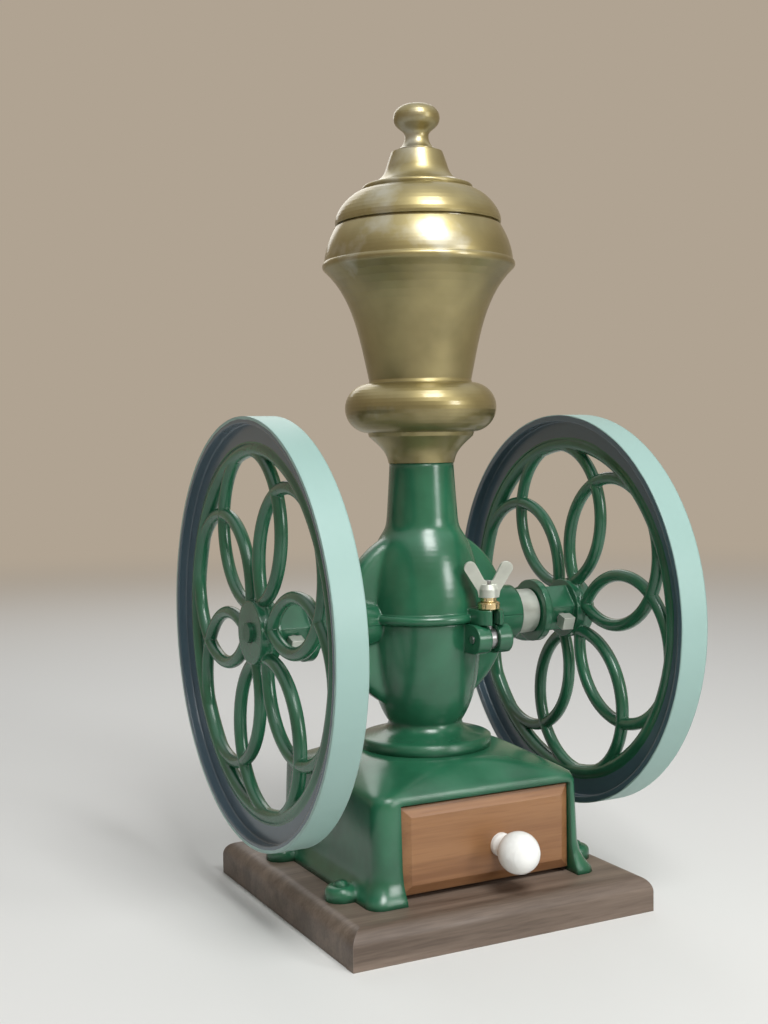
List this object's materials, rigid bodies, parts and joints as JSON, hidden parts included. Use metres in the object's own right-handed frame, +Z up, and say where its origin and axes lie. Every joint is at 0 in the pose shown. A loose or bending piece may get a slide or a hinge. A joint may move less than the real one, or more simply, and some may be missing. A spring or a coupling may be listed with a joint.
{
  "type": "manual coffee grinder",
  "caption": "Hand-turned coffee mill: two ring-spoked flywheels on a shaft through a split cast housing, urn hopper with lift-off lid, box base with sliding drawer, wooden plinth.",
  "frame": {"origin": "centre of the plinth's underside, straight below the hopper's axis", "axes": "+Z up, X along the shaft from the left wheel to the right wheel, the drawer opens towards -Y"},
  "size_m": [0.203, 0.216, 0.4175],
  "materials": {
    "green_enamel": "glossy brushed enamel on cast iron",
    "wheel_enamel": "green enamel spokes, navy rim sides, pale mint hoop",
    "gold_paint": "satin gold paint on cast metal",
    "bright_plate": "bright zinc plate",
    "steel": "plain turned steel",
    "brass": "turned brass",
    "plinth_wood": "dark stained, oiled",
    "drawer_wood": "red-brown stained, satin varnish",
    "white_knob": "white glaze"
  },
  "bodies": {
    "stand": {"base_plinth": "plinth_wood", "base_box": "green_enamel", "base_screws": "green_enamel", "lower_housing": "green_enamel", "upper_housing": "green_enamel", "foot_bolts": "steel", "clamp_bolt": "steel", "clamp_pin": "steel", "rear_bolt": "steel", "rear_nut": "steel", "left_bush": "bright_plate", "fixed_burr": "steel", "burr_screws": "steel", "hopper": "gold_paint"},
    "rotor": {"shaft": "steel", "left_wheel": "wheel_enamel", "right_wheel": "wheel_enamel", "wheel_screws": "bright_plate", "feed_auger": "steel", "auger_pin": "steel", "burr_key": "steel"},
    "burr": {"moving_burr": "steel"},
    "washer": {"thrust_washer": "brass"},
    "sleeve": {"adjusting_sleeve": "bright_plate"},
    "drawer": {"drawer_front": "drawer_wood", "drawer_left_side": "drawer_wood", "drawer_right_side": "drawer_wood", "drawer_back": "drawer_wood", "drawer_bottom": "drawer_wood", "drawer_knob": "white_knob", "knob_screw": "steel"},
    "lid": {"lid": "gold_paint", "lid_knob": "gold_paint", "lid_nut": "steel"},
    "collar": {"clamp_collar": "brass"},
    "wing": {"wing_nut": "bright_plate"}
  },
  "joints": [
    {"name": "shaft_spin", "type": "hinge", "parent": "stand", "child": "rotor", "pos_m": [0, 0, 0.147], "axis": [1, 0, 0], "continuous": true},
    {"name": "burr_slide", "type": "slide", "parent": "rotor", "child": "burr", "axis": [-1, 0, 0], "range_m": [0, 0.00075]},
    {"name": "washer_slide", "type": "slide", "parent": "stand", "child": "washer", "axis": [-1, 0, 0], "range_m": [0, 0.00075]},
    {"name": "sleeve_turn", "type": "hinge", "parent": "washer", "child": "sleeve", "pos_m": [0, 0, 0.147], "axis": [-1, 0, 0], "range_deg": [0, 180]},
    {"name": "drawer_slide", "type": "slide", "parent": "stand", "child": "drawer", "axis": [0, -1, 0], "range_m": [0, 0.08]},
    {"name": "lid_lift", "type": "slide", "parent": "stand", "child": "lid", "axis": [0, 0, 1], "range_m": [0, 0.08]},
    {"name": "collar_rise", "type": "slide", "parent": "stand", "child": "collar", "axis": [0, 0, 1], "range_m": [0, 0.0009]},
    {"name": "wing_turn", "type": "hinge", "parent": "collar", "child": "wing", "pos_m": [0.0175, -0.03807, 0.161], "axis": [0, 0, 1], "range_deg": [0, 360]}
  ],
  "couplings": [
    {"joint": "burr_slide", "follows": "washer_slide", "ratio": 1},
    {"joint": "sleeve_turn", "follows": "washer_slide", "rad_per_m": 4188.8},
    {"joint": "collar_rise", "follows": "wing_turn", "m_per_rad": 0.00012732}
  ]
}
